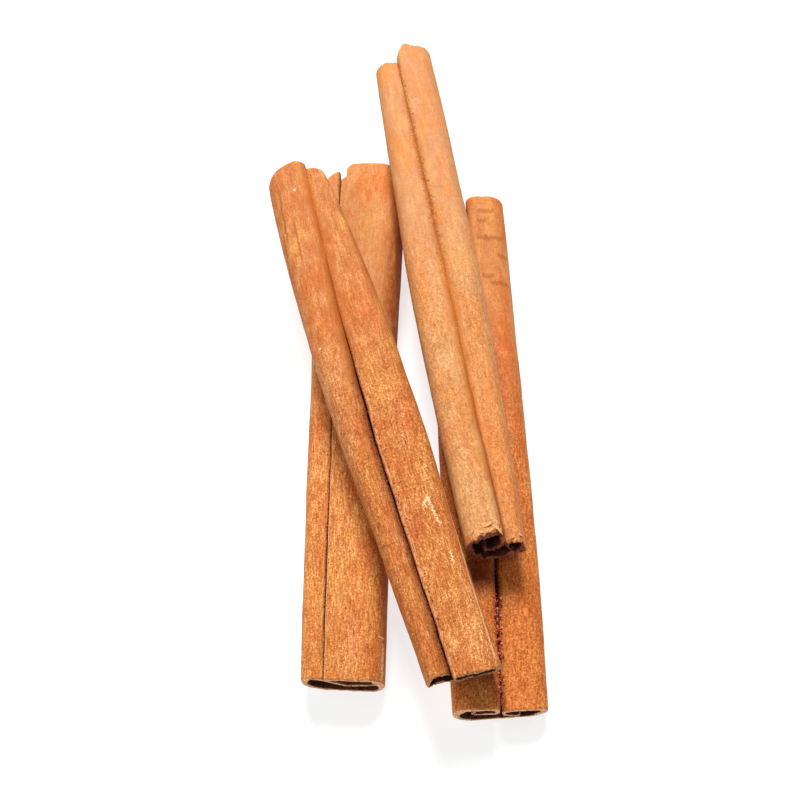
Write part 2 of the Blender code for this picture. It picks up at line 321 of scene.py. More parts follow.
def buildStick(name, stick):
    near, along, across, above, length = stickAxes(stick)
    rings = ringPlaces(length)
    lines = [sheetLine(stick, y / length) for y in rings]
    grid = np.array([line for line, _ in lines])
    around = np.linspace(-0.5, 0.5, sheet["columns"])[None, :] * np.mean([l for _, l in lines])
    onward = rings[:, None] * np.ones_like(around)
    around = around * np.ones_like(onward)
    face, out = grid[..., 0:2], grid[..., 2:4]
    nearBack, farBack, thickness, past = grid[..., 4], grid[..., 5], grid[..., 6], grid[..., 7]
    share, wide, long = sheet["uneven"]
    thickness = thickness * (1 + share * hills(around / wide, onward / long, stick["seed"] + 7))

    # sharp bends of the outer face rub pale, with a painted highlight
    turn = (np.linalg.norm(np.gradient(out, axis=1), axis=2)
            / np.linalg.norm(np.gradient(face, axis=1), axis=2))
    least, more = sheet["sharpTurn"]
    worn = np.clip((turn - least) / more, 0, 1)

    outerRise, innerRise = relief(stick, around, onward)
    layers, columns = sheet["layers"], sheet["columns"]
    places = np.zeros((len(rings), columns, layers + 1, 3))
    barkMap = np.zeros_like(places)
    barkEdge = np.zeros_like(places)
    pastSeam = np.repeat(past[:, :, None], layers + 1, axis=2)
    fromFar = length - rings
    nearShift = nearBack * fade(rings, sheet["cutReach"])
    farShift = farBack * fade(fromFar, sheet["cutReach"])
    nearTear = fade(rings, sheet["tearReach"])
    farTear = fade(fromFar, sheet["tearReach"])
    fromEnd = np.minimum(rings, fromFar)[:, None]
    fromLip = np.minimum(np.arange(columns), np.arange(columns)[::-1])[None, :] * np.ones_like(onward)
    rub = np.maximum(np.exp(-fromEnd / sheet["endRub"]) * np.ones_like(onward),
                     np.exp(-fromLip / sheet["lipRub"]))
    middle = bowed(stick, onward / length)
    for layer in range(layers + 1):
        share = layer / layers
        inset = sheet["edgeWear"] * rub * (1 - 2 * share)
        offset = outerRise * (1 - share) + innerRise * share - thickness * share - inset
        x = face[..., 0] + out[..., 0] * offset + middle
        z = face[..., 1] + out[..., 1] * offset
        swell = sheet["edgeSwell"] * math.sin(math.pi * share)
        nearTorn = nearTear * (stick["ragged"][0] * ragged(around, layer, stick["seed"] + 20))
        farTorn = farTear * (stick["ragged"][1] * ragged(around, layer, stick["seed"] + 30))
        back = nearShift + nearTorn - (rings == 0)[:, None] * swell
        forth = farShift + farTorn - (rings == length)[:, None] * swell
        y = onward + back - forth
        for axis in range(3):
            places[:, :, layer, axis] = near[axis] + along[axis] * y + across[axis] * x + above[axis] * z
        barkMap[:, :, layer, 0] = around
        barkMap[:, :, layer, 1] = y
        barkMap[:, :, layer, 2] = thickness * share
        barkEdge[:, :, layer, 0] = share
        barkEdge[:, :, layer, 1] = rub if 0 < layer < layers else sheet["cornerRub"] * rub
        barkEdge[:, :, layer, 2] = worn
    if stick["lift"][0] == 0:
        places[..., 2] = np.maximum(places[..., 2], 0.0)

    shell = np.zeros(places.shape[:3], bool)
    shell[[0, -1]] = shell[:, [0, -1]] = True
    shell[:, :, [0, -1]] = True
    number = np.full(shell.shape, -1)
    number[shell] = np.arange(shell.sum())
    mesh = bpy.data.meshes.new(name)
    mesh.from_pydata((places[shell] * mm).tolist(), [], skin(number))
    for attribute, kind, field, values in (("barkMap", "FLOAT_VECTOR", "vector", barkMap),
                                           ("barkEdge", "FLOAT_VECTOR", "vector", barkEdge),
                                           ("pastSeam", "FLOAT", "value", pastSeam)):
        made = mesh.attributes.new(attribute, kind, "POINT")
        made.data.foreach_set(field, values[shell].ravel())
    turnOutwards(mesh)
    mesh.shade_smooth()
    mesh.set_sharp_from_angle(angle=math.radians(sheet["shadeSmooth"]))
    piece = addPiece(name, mesh, barkFinish(name + "_finish", stick))
    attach(piece, "root")
    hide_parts(stick["stands for"])
    print(f"{name}: {len(mesh.vertices)} points, {len(mesh.polygons)} faces, {length:.1f} mm long")


# Finishes

class Wire:
    # a socket to reckon with: + - * / ** on it add Math nodes

    def __init__(self, bench, socket):
        self.bench, self.socket = bench, socket

    def __add__(self, other):
        return self.bench.math("ADD", self, other)

    def __sub__(self, other):
        return self.bench.math("SUBTRACT", self, other)

    def __rsub__(self, other):
        return self.bench.math("SUBTRACT", other, self)

    def __mul__(self, other):
        return self.bench.math("MULTIPLY", self, other)

    def __truediv__(self, other):
        return self.bench.math("DIVIDE", self, other)

    def __pow__(self, other):
        return self.bench.math("POWER", self, other)

    __radd__ = __add__
    __rmul__ = __mul__


class Bench:
    # the node tree of one material

    def __init__(self, name):
        self.material = bpy.data.materials.new(name)
        self.material.use_nodes = True
        self.tree = self.material.node_tree
        self.tree.nodes.clear()

    def node(self, kind, settings=None, sockets=None, out=0):
        made = self.tree.nodes.new(kind)
        for key, value in (settings or {}).items():
            setattr(made, key, value)
        for key, value in (sockets or {}).items():
            if isinstance(value, Wire):
                self.tree.links.new(value.socket, made.inputs[key])
            elif isinstance(value, tuple) and made.inputs[key].type == "RGBA":
                made.inputs[key].default_value = (*value, 1)
            else:
                made.inputs[key].default_value = value
        return Wire(self, made.outputs[out]) if made.outputs else made

    def math(self, operation, first, second=0.0):
        return self.node("ShaderNodeMath", {"operation": operation}, {0: first, 1: second})

    def attribute(self, name, out):
        return self.node("ShaderNodeAttribute", {"attribute_name": name}, out=out)

    def split(self, vector):
        parts = self.node("ShaderNodeSeparateXYZ", sockets={0: vector}).socket.node
        return [Wire(self, parts.outputs[axis]) for axis in range(3)]

    def join(self, x, y, z):
        return self.node("ShaderNodeCombineXYZ", sockets={0: x, 1: y, 2: z})

    def mix(self, share, first, second, blend="MIX"):
        return self.node("ShaderNodeMix", {"data_type": "RGBA", "blend_type": blend},
                         {0: share, 6: first, 7: second}, out=2)

    def step(self, value, low, high):
        # 0 under low, 1 over high, smooth in between
        return self.node("ShaderNodeMapRange", {"interpolation_type": "SMOOTHSTEP"},
                         {"Value": value, "From Min": low, "From Max": high})

    def bound(self, value, low, high):
        return self.node("ShaderNodeClamp", sockets={"Value": value, "Min": low, "Max": high})

    def noise(self, x, y, z, detail=2.0, roughness=0.55, twist=0.0):
        return self.node("ShaderNodeTexNoise", {"noise_dimensions": "3D"},
                         {"Vector": self.join(x, y, z), "Scale": 1.0, "Detail": detail,
                          "Roughness": roughness, "Distortion": twist})

    def speckle(self, scale, detail):
        # noise through the whole piece, so many to the metre
        place = self.node("ShaderNodeTexCoord", out="Object")
        return self.node("ShaderNodeTexNoise",
                         sockets={"Vector": place, "Scale": scale, "Detail": detail})

    def shade(self, sockets):
        shader = self.node("ShaderNodeBsdfPrincipled", sockets=sockets)
        self.node("ShaderNodeOutputMaterial", sockets={"Surface": shader})
        return self.material


# Noise on the bark: its size round the sheet and along it (mm), where in the noise it lies, its
# detail, roughness and twist.

barkGrain = {
    "broad": (3.5, 8.0, 0.0, 3.0, 0.55, 0.0),
    "patches": (1.2, 2.6, 11.3, 3.0, 0.6, 0.0),
    "streaks": (0.65, 4.0, 23.1, 3.0, 0.6, 0.0),
    "fibres": (0.22, 1.7, 31.7, 2.0, 0.6, 0.0),
    "grit": (0.25, 0.28, 47.9, 2.0, 0.65, 0.8),
    "crinkles": (0.46, 0.54, 71.3, 2.0, 0.55, 1.2),
    "dashes": (0.22, 0.80, 53.2, 1.0, 0.55, 0.0),
    "bands": (3.5, 0.6, 61.5, 3.0, 0.65, 0.0),
}

# Where in its noise, or how far out, each marking starts and where it is full.

barkSteps = {
    "red": (0.46, 0.64), "gold": (0.52, 0.66), "patch": (0.35, 1.15), "mottle": (0.48, 0.70),
    "streaks": (0.52, 0.68), "bands": (0.56, 0.70), "crinkles": (0.0, 0.07), "specks": (0.60, 0.70),
    "markSide": (0.35, 0.8), "markEnd": (0.35, 0.55), "markGrit": (0.34, 0.46), "worn": (0.35, 0.6),
    "seamShade": (-0.85, 0.05), "layers": (0.42, 0.62), "inner": (0.4, 0.65), "innerFace": (0.6, 0.95),
    "cutEdge": (0.25, 0.7), "lightness": (0.3, 1.5),
    "farTan": (22.0, 60.0), "calm": (30.0, 62.0), "farCrevice": (36.0, 58.0),     # mm along the stick
    "darkInside": (3.0, 6.0),                               # widths of the seam's painted shade past it
}
barkRelief = {"fibres": 0.4, "grit": 0.5, "streaks": 0.4, "bands": 0.4, "ripple": 0.5, "dash": 0.3}
patchFray, seamShadeFray = 1.6, 3.5                      # how far noise breaks up the edges of both
rippleSize = 0.55                                   # of the bends in a mark, mm
layerSize, layerDepth = 0.35, 8.0                   # of the layers in a cut: mm, and how dense
greenFade, blueFade = 1.45, 1.9                     # darker fibres are redder too


def barkFinish(name, stick):
    bench = Bench(name)
    look = stick["look"]
    around, along, deep = bench.split(bench.attribute("barkMap", "Vector"))
    inside, rim, worn = bench.split(bench.attribute("barkEdge", "Vector"))
    past = bench.attribute("pastSeam", "Fac")
    seed = stick["seed"] * 1.7

    def grain(kind):
        wide, long, offset, detail, roughness, twist = barkGrain[kind]
        return bench.noise(around / wide, along / long, deep * 3 + seed + offset, detail, roughness, twist)

    def step(value, kind):
        return bench.step(value, *barkSteps[kind])

    broad, patches, streaks, fibres = grain("broad"), grain("patches"), grain("streaks"), grain("fibres")
    grit, dashes, bands = grain("grit"), grain("dashes"), grain("bands")
    crinkles = bench.math("ABSOLUTE", grain("crinkles") - 0.5)
    calm = 1 - step(along, "calm") * look["calm"]

    # broad colours
    colour = bench.mix(step(along, "farTan"), look["tan"], look["farTan"])
    colour = bench.mix(step(broad, "red"), colour, look["red"])
    colour = bench.mix(step(1 - broad, "gold") * look["golden"], colour, look["gold"])
    # a patch is the bark's own colour unless a stick's list marks it as painted shade
    for patch in look["patches"]:
        across = (around - patch["around"]) / patch["wide"]
        length = (along - patch["along"]) / patch["long"]
        out = bench.math("SQRT", across * across + length * length) + (patches - 0.5) * patchFray
        colour = bench.mix((1 - step(out, "patch")) * patch["share"], colour, patch["colour"])
    colour = bench.mix(step(patches, "mottle") * look["mottle"], colour, look["red"])
    colour = bench.mix(step(1 - patches, "mottle") * look["mottle"], colour, look["pale"])
    colour = bench.mix(step(streaks, "streaks") * look["streaks"], colour, look["pale"])
    colour = bench.mix(step(1 - bands, "bands") * look["bands"], colour, look["dark"])

    # fibres, crinkles and specks
    fine = (fibres - 0.5) * look["fibres"] + (grit - 0.5) * look["grit"]
    lightness = bench.bound(1 + calm * fine, *barkSteps["lightness"])
    colour = bench.mix(1.0, colour, bench.join(lightness, lightness ** greenFade, lightness ** blueFade),
                       "MULTIPLY")
    crinkle = (1 - step(crinkles, "crinkles")) * look["crinkles"] * calm
    colour = bench.mix(crinkle, colour, look["crinkle"])
    speck = step(grit, "specks") * look["specks"] * calm
    dash = step(dashes, "specks") * look["dashes"] * calm
    paleDash = step(1 - dashes, "specks") * look["paleDashes"] * calm
    colour = bench.mix(paleDash, colour, look["pale"])
    colour = bench.mix(bench.math("MAXIMUM", speck, dash), colour, look["dark"])

    # veins, scratches, cracks and dots: short rippled lines
    for index, mark in enumerate(look["marks"]):
        turn = math.radians(mark["turn"])
        offAround, offAlong = around - mark["around"], along - mark["along"]
        onward = offAround * math.cos(turn) + offAlong * math.sin(turn)
        aside = offAlong * math.cos(turn) - offAround * math.sin(turn)
        ripple = bench.noise(onward / rippleSize, seed + index * 3.1, 0.0, 3.0, 0.6)
        aside = bench.math("ABSOLUTE", aside + (ripple - 0.5) * mark["wander"])
        onward = bench.math("ABSOLUTE", onward)
        line = 1 - bench.step(aside, *[mark["wide"] * share for share in barkSteps["markSide"]])
        line = line * (1 - bench.step(onward, *[mark["long"] * share for share in barkSteps["markEnd"]]))
        line = line * step(grit, "markGrit")
        colour = bench.mix(line * mark["share"], colour, mark["colour"])

    # rubbed corners with painted highlights, painted shade at the seam and past it, the inner face and cut
    # edges
    # wear and painted highlight: sharp bends of the outer face turn to the rubbed colour
    colour = bench.mix(worn * look["worn"] * step(fibres, "worn"), colour, look["rubbedAndLit"])
    # painted shade: the bark darkens to the crevice colour towards the seam's crease
    crevice = bench.mix(step(along, "farCrevice"), look["crevice"], look["farCrevice"])
    colour = bench.mix(step(past + (grit - 0.5) * seamShadeFray, "seamShade"), colour, crevice)
    # painted shade: bark tucked in past the seam darkens to the inner colour
    colour = bench.mix(step(past, "darkInside"), colour, look["inner"])
    layersSeen = bench.noise(around / layerSize, along / layerSize, deep * layerDepth, 3.0, 0.65)
    cut = bench.mix(step(layersSeen, "layers"), look["cut"], look["cutDark"])
    # the inner face takes the inner colours: partly the inner bark's own darker brown, partly painted shade
    # of the hollows
    inner = bench.mix(step(streaks, "inner"), look["inner"], look["innerDark"])
    colour = bench.mix(step(inside, "innerFace"), colour, inner)
    # cut ends and lips take the cut colour: the cut's own colour, made paler as a painted highlight where
    # rims and lips catch the light
    colour = bench.mix(step(rim, "cutEdge"), colour, cut)

    # the last mark's ripple runs on faintly over the whole sheet
    height = (fibres * barkRelief["fibres"] + grit * barkRelief["grit"] + streaks * barkRelief["streaks"]
              + bands * barkRelief["bands"] - ripple * barkRelief["ripple"] - dash * barkRelief["dash"])
    bump = bench.node("ShaderNodeBump", sockets={
        "Strength": 1.0, "Distance": look["bump"] * mm, "Height": height * calm}, out="Normal")
    return bench.shade({
        "Base Color": colour, "Roughness": look["roughness"] + (grit - 0.5) * look["gritRoughness"],
        "Normal": bump, "Specular IOR Level": look["gloss"]})


def floorFinish(name):
    return Bench(name).shade({
        "Base Color": setting["floorColour"], "Roughness": setting["floorRoughness"],
        "Specular IOR Level": setting["floorGloss"],
        "Emission Color": (1.0, 1.0, 1.0), "Emission Strength": setting["floorGlow"]})


# The four sticks. How each one's ends are cut, and how thick its walls are, is given at the
# underside, the side, the top and the lip of each roll.

barkLook = {
    "tan": (0.555, 0.214, 0.053), "farTan": (0.485, 0.200, 0.064), "red": (0.48, 0.138, 0.030),
    # crevice and farCrevice are painted shade in the seam's crease
    "pale": (0.65, 0.290, 0.105), "dark": (0.26, 0.070, 0.012), "crevice": (0.09, 0.020, 0.006),
    "farCrevice": (0.09, 0.020, 0.006), "crinkle": (0.33, 0.078, 0.013), "rubbedAndLit": (0.68, 0.330, 0.150),
    # cut is partly the cut's own colour and partly a painted highlight on rims and lips
    "cut": (0.84, 0.51, 0.28), "cutDark": (0.38, 0.14, 0.050),
    # inner and innerDark: the inner bark's own brown, darkened as painted shade of the hollows
    "inner": (0.130, 0.036, 0.015), "innerDark": (0.055, 0.014, 0.007),
    "gold": (0.57, 0.235, 0.056),
    "mottle": 0.42, "streaks": 0.26, "bands": 0.15, "fibres": 1.7, "grit": 2.3, "calm": 0.72,
    "crinkles": 0.70, "specks": 0.12, "dashes": 0.18, "paleDashes": 0.12, "worn": 0.5, "golden": 0.7,
    "roughness": 0.68, "gritRoughness": 0.3, "gloss": 0.12, "bump": 0.12, "patches": [], "marks": [],
}
cream, darkLine, pinkish = (0.85, 0.56, 0.30), (0.16, 0.040, 0.010), (0.60, 0.190, 0.070)
rust = (0.27, 0.068, 0.013)

leftStick = {
    "near": (-8.03, -47.11), "far": (-6.01, 32.89), "bow": -0.32, "lift": (0.0, 0.0), "bark": 0.95,
    "gap": (0.10, 0.10), "seamReach": 1.5,
    "width": (11.55, 11.95, 12.1, 12.8, 13.8), "seam": (0.25, 0.26, 0.26, 0.25, 0.24),
    "left": {"height": (6.15, 6.6, 6.95, 7.4, 8.0), "foot": (1.90, 0.56), "crown": (0.42, 0.32),
             "seamShade": (0.22, 0.22),
             "tucked": {"edgeRadius": 0.45, "dip": 40, "short": 0.05, "slope": 3.4,
                        "floorRadius": 2.0, "rise": 14, "after": 3.2}},
    "right": {"height": (6.4, 6.9, 7.3, 7.8, 8.5), "foot": (0.20, 0.36), "crown": (0.36, 0.56),
              "shoulder": ((1.6, 1.6), (1.6, 1.6)), "turned": (184, 186),
              "over": 0.08, "seamShade": (0.04, 0.04),
              "slit": {"wide": 0.32, "long": 9.0, "notchWide": 0.95, "notchLong": 2.3,
                       "notchRound": 0.4}},
    "nearCut": {"left": (0.1, 0.2, 0.0, 0.0, 0.0), "right": (0.0, 0.2, 0.0, 0.0, 0.0)},
    "farCut": {"left": (1.2, 5.0, -0.35, -0.05, 3.2), "right": (0.3, 0.8, 0.0, 0.9, 0.9)},
    "walls": {"left": (0.40, 0.95, 0.55, 0.40), "right": (0.40, 1.35, 0.85, 0.50)},
    "ragged": (0.12, 0.12), "relief": 0.8, "waver": 0.06, "seed": 3,
    "slot": "bark_left", "stands for": "stick_left",
    "look": {**barkLook, "crevice": (0.05, 0.012, 0.005), "farCrevice": (0.15, 0.042, 0.012), "patches": [
        # painted shade: the first two patches darken the right flank where the top and slanting sticks
        # shade it
        {"around": 11.5, "along": 58, "wide": 3.2, "long": 26, "share": 0.88,
         "colour": (0.27, 0.062, 0.014)},
        {"around": 11.0, "along": 16, "wide": 2.4, "long": 22, "share": 0.62,
         "colour": (0.34, 0.085, 0.016)},
        {"around": 16.7, "along": 5.4, "wide": 1.8, "long": 3.5, "share": 0.5, "colour": pinkish}],
        "marks": [
        {"around": 12.3, "along": 6.4, "turn": 3, "long": 1.7, "wide": 0.16, "wander": 0.25,
         "share": 0.8, "colour": cream},
        {"around": 11.8, "along": 2.9, "turn": 92, "long": 5.6, "wide": 0.50, "wander": 0.6,
         "share": 0.55, "colour": cream}]},
}

rightStick = {
    "near": (13.39, -51.01), "far": (9.64, 28.44), "bow": 0.20, "lift": (0.0, 0.0), "bark": 0.95,
    "gap": (0.22, 0.15), "seamReach": 1.3,
    "width": (13.2, 13.3, 12.9, 12.3, 12.0), "seam": (0.505, 0.53, 0.53, 0.525, 0.51),
    "left": {"height": (6.3, 6.4, 6.3, 6.1, 5.9), "foot": (0.44, 0.44), "crown": (0.36, 0.46),
             "shoulder": ((0.9, 0.9), (1.0, 0.7)), "drop": 0.1, "hook": (1.1, 0.9),
             "turned": (375, 340), "reach": 1.5, "curl": (0.45, 150), "seamShade": (0.4, 0.4)},
    "right": {"height": (4.7, 5.0, 5.3, 5.7, 5.9), "foot": (0.46, 0.46), "crown": (0.44, 0.46),
              "shoulder": ((0.9, 0.9), (0.9, 0.7)), "drop": 0.1, "hook": (0.8, 0.8),
              "turned": (340, 350), "reach": 0.7, "curl": (0.40, 110), "seamShade": (0.4, 0.4)},
    "nearCut": {"left": (0.0, 0.2, 0.0, 0.05, -0.05), "right": (0.2, 0.3, 0.1, 0.1, 0.0)},
    "farCut": {"left": (0.2, 0.4, 0.0, 0.2, 0.6), "right": (0.2, 0.3, 0.0, 0.2, 0.7)},
    "walls": {"left": (0.6, 1.5, 0.9, 0.40), "right": (0.6, 1.3, 0.85, 0.45)},
    "ragged": (0.12, 0.15), "relief": 0.8, "waver": 0.15, "seed": 11,
    "slot": "bark_right", "stands for": "stick_right",
    "look": {**barkLook, "tan": (0.62, 0.187, 0.039), "farTan": (0.50, 0.190, 0.060),
             "red": (0.50, 0.128, 0.024), "pale": (0.70, 0.270, 0.085), "mottle": 0.4,
             "streaks": 0.16, "fibres": 1.0, "grit": 2.8, "dashes": 0.1, "patches": [
                 # painted shadow: the first patch darkens the left roll under the top stick's near end
                 {"around": -13.2, "along": 19.0, "wide": 3.6, "long": 3.2, "share": 0.85,
                  "colour": (0.20, 0.040, 0.015)},
                 {"around": 13.5, "along": 50, "wide": 3.2, "long": 10, "share": 0.6,
                  "colour": (0.50, 0.120, 0.032)}],
             "marks": [{"around": around, "along": along, "turn": turn, "long": long, "wide": 0.60,
                        "wander": 1.2, "share": 0.60, "colour": rust}
                       for around, along, turn, long in (
                           (14.1, 76.8, 0, 3.0), (14.9, 75.2, 4, 1.6), (15.1, 72.3, 0, 1.8),
                           (13.3, 72.1, 3, 3.2), (12.0, 69.0, 5, 2.4), (14.8, 65.6, 0, 2.0),
                           (13.0, 64.4, 4, 3.2))]},
}

slantingStick = {
    "near": (8.29, -47.71), "far": (-16.36, 29.24), "bow": 0.0, "lift": (6.70, 8.75), "bark": 0.85,
    "gap": (0.0, -0.02, -0.02, -0.10, -0.55), "seamReach": 1.3,
    "width": (10.3, 10.9, 12.2, 11.4, 8.8), "seam": (0.34, 0.36, 0.40, 0.49, 0.66),
    "left": {"height": (5.9, 6.0, 6.1, 6.2, 6.5), "foot": (0.50, 0.46), "crown": (0.40, 0.44),
             "shoulder": ((1.4, 1.4, 1.4, 1.2, 0.9), (1.8, 1.7, 1.4, 0.7, 0.25)),
             "drop": 0.05, "hook": (0.9, 1.0), "turned": (285, 345), "reach": 0.8, "curl": (0.5, 40),
             "seamShade": (2.6, 2.5, 2.2, 1.8, 0.9)},
    "right": {"height": (4.9, 5.3, 5.7, 6.0, 6.25), "foot": (0.26, 0.44), "crown": (0.26, 0.46),
              "shoulder": ((0.12, 0.12, 0.15, 0.5, 0.8), (0.15, 0.15, 0.15, 0.25, 0.2)),
              "drop": 0.05, "hook": (0.6, 0.6), "turned": (350, 310), "reach": 1.2, "curl": (0.5, 60),
              "seamShade": (0.10, 0.10, 0.20, 1.0, 0.6)},
    "nearCut": {"left": (1.1, 0.5, 0.85, 0.9, 2.4), "right": (0.25, -0.1, 0.0, 0.15, -0.1)},
    "farCut": {"left": (0.6, 1.9, 0.2, 0.9, 0.9), "right": (3.4, 6.0, 2.2, 1.7, 1.7)},
    "walls": {"left": (0.35, 0.40, 0.45, 0.4), "right": (0.5, 0.75, 0.50, 0.4)},
    "ragged": (0.28, 0.14), "relief": 1.0, "waver": 0.07, "seed": 23,
    "slot": "bark_slanting", "stands for": "stick_slanting",
    "look": {**barkLook, "tan": (0.50, 0.172, 0.040), "farTan": (0.42, 0.142, 0.043),
             "red": (0.45, 0.122, 0.027), "mottle": 0.48, "worn": 0.75, "grit": 2.6,
             "crinkles": 0.85, "cut": (0.62, 0.34, 0.16), "cutDark": (0.22, 0.065, 0.025), "calm": 0.55,
             "crevice": (0.085, 0.014, 0.008), "farCrevice": (0.40, 0.105, 0.016),
             "rubbedAndLit": (0.74, 0.380, 0.200),
             "patches": [
                 {"around": 11.5, "along": 0.5, "wide": 0.8, "long": 0.7, "share": 0.8,
                  "colour": (0.30, 0.085, 0.030)},
                 {"around": 8.6, "along": 9.0, "wide": 1.6, "long": 6.0, "share": 0.6,
                  "colour": (0.64, 0.290, 0.100)},
                 {"around": 10.0, "along": 3.6, "wide": 3.4, "long": 4.5, "share": 0.7,
                  "colour": (0.68, 0.300, 0.095)},
                 {"around": 11.1, "along": 54.2, "wide": 1.5, "long": 4.5, "share": 0.7,
                  "colour": (0.52, 0.130, 0.036)},
                 {"around": -11.2, "along": 43, "wide": 2.2, "long": 8, "share": 0.6,
                  "colour": (0.46, 0.190, 0.065)}],
             "marks": [
                 {"around": 9.9, "along": 22.9, "turn": 80, "long": 5.0, "wide": 0.26, "wander": 2.4,
                  "share": 0.9, "colour": cream},
                 {"around": 10.6, "along": 24.4, "turn": 110, "long": 1.7, "wide": 0.40, "wander": 2.0,
                  "share": 0.8, "colour": cream},
                 {"around": 9.6, "along": 22.8, "turn": 80, "long": 2.4, "wide": 0.14, "wander": 2.0,
                  "share": 0.7, "colour": darkLine},
                 {"around": 9.2, "along": 16.0, "turn": 84, "long": 2.4, "wide": 0.18, "wander": 1.4,
                  "share": 0.9, "colour": cream},
                 {"around": -11.82, "along": 75.98, "turn": 0, "long": 0.35, "wide": 0.28, "wander": 0.1,
                  "share": 1.0, "colour": cream},
                 {"around": -11.1, "along": 50.5, "turn": 0, "long": 0.30, "wide": 0.22, "wander": 0.1,
                  "share": 0.9, "colour": cream},
                 # painted highlight: this long cream line runs along the right edge where it catches the
                 # light
                 {"around": 7.1, "along": 15.0, "turn": 91, "long": 30.0, "wide": 0.26, "wander": 0.5,
                  "share": 0.65, "colour": cream},
                 {"around": -9.4, "along": 72.5, "turn": 88, "long": 9.0, "wide": 0.34, "wander": 1.3,
                  "share": 0.8, "colour": rust},
                 {"around": -8.7, "along": 65.0, "turn": 93, "long": 10.0, "wide": 0.34, "wander": 1.3,
                  "share": 0.8, "colour": rust},
                 {"around": -11.2, "along": 67.5, "turn": 87, "long": 7.0, "wide": 0.30, "wander": 1.3,
                  "share": 0.7, "colour": rust},
                 {"around": -12.1, "along": 20.0, "turn": 4, "long": 3.2, "wide": 0.12, "wander": 0.7,
                  "share": 0.8, "colour": darkLine}]},
}

topStick = {
    "near": (12.93, -29.76), "far": (-0.16, 51.24), "bow": 0.0, "lift": (6.68, 8.32), "bark": 0.85,
    "gap": (0.0, -0.20, -0.30, -0.35, -0.25), "seamReach": 1.3,
    "width": (8.25, 9.75, 10.5, 9.9, 8.75), "seam": (0.65, 0.55, 0.52, 0.46, 0.39),
    "left": {"height": (5.6, 5.5, 5.4, 5.2, 4.9), "foot": (0.46, 0.46), "crown": (0.40, 0.46),
             "shoulder": ((1.1, 1.3, 1.3, 1.3, 1.0), (0.8, 0.6, 0.55, 0.5, 0.35)),
             "drop": 0.9, "hook": (0.9, 0.9), "turned": (345, 330), "reach": 0.9, "curl": (0.6, 150),
             "seamShade": (0.5, 1.0, 1.3, 1.0, 0.4)},
    "right": {"height": (4.9, 5.2, 5.5, 5.5, 5.4), "foot": (0.46, 0.46), "crown": (0.40, 0.46),
              "shoulder": ((0.9, 1.1, 1.2, 1.2, 1.2), (0.9, 0.6, 0.55, 0.5, 0.5)),
              "drop": 0.7, "hook": (0.7, 0.8), "turned": (330, 350), "reach": 0.8, "curl": (0.35, 80),
              "seamShade": (0.4, 0.8, 1.1, 0.8, 0.4)},
    "nearCut": {"left": (-0.35, 0.7, 1.6, 1.3, 0.1), "right": (-0.6, -0.5, 0.1, 0.4, 0.0)},
    "farCut": {"left": (2.5, 2.7, 2.6, 2.5, 3.6), "right": (0.4, 0.9, 0.0, 2.1, 2.8)},
    "walls": {"left": (1.2, 1.1, 0.75, 0.50), "right": (1.2, 0.85, 0.70, 0.40)},
    "ragged": (0.75, 0.55), "relief": 0.7, "waver": 0.08, "seed": 41,
    "slot": "bark_top", "stands for": "stick_top",
    "look": {**barkLook, "tan": (0.515, 0.248, 0.093), "farTan": (0.465, 0.198, 0.083),
             "red": (0.50, 0.190, 0.056), "pale": (0.60, 0.320, 0.130), "gold": (0.56, 0.260, 0.080),
             "mottle": 0.32, "fibres": 0.8, "grit": 1.5, "crinkles": 0.32, "specks": 0.08,
             # the top stick's inner colours are near black: painted shade of its hollows
             "inner": (0.060, 0.016, 0.010), "innerDark": (0.020, 0.005, 0.004), "patches": [
                 {"around": 11.0, "along": 12, "wide": 4.5, "long": 22, "share": 0.7,
                  "colour": (0.56, 0.165, 0.036)}],
             "dashes": 0.12, "paleDashes": 0.1, "worn": 0.2, "bump": 0.07,
             "crevice": (0.44, 0.125, 0.016), "farCrevice": (0.30, 0.082, 0.013),
             "crinkle": (0.38, 0.110, 0.022),
             "cut": (0.34, 0.088, 0.042), "cutDark": (0.040, 0.009, 0.007), "marks": [
                 {"around": -11.8, "along": 11.7, "turn": 0, "long": 0.30, "wide": 0.18, "wander": 0.1,
                  "share": 0.9, "colour": darkLine},
                 {"around": -8.9, "along": 2.9, "turn": 8, "long": 2.0, "wide": 0.12, "wander": 0.6,
                  "share": 0.9, "colour": darkLine},
                 {"around": -10.1, "along": 2.2, "turn": -25, "long": 1.6, "wide": 0.12, "wander": 0.6,
                  "share": 0.9, "colour": darkLine},
                 {"around": -11.0, "along": 2.9, "turn": -50, "long": 1.9, "wide": 0.14, "wander": 0.5,
                  "share": 0.9, "colour": darkLine}]},
}

buildStick("left_quill", leftStick)
buildStick("right_quill", rightStick)
buildStick("slanting_quill", slantingStick)
buildStick("top_quill", topStick)


# Crumbs in the seams. Places along are mm from the stick's near end; the radius lies between
# "least" and a bed's "most", and a crumb's tint runs from dark (0) over red to pale (1).

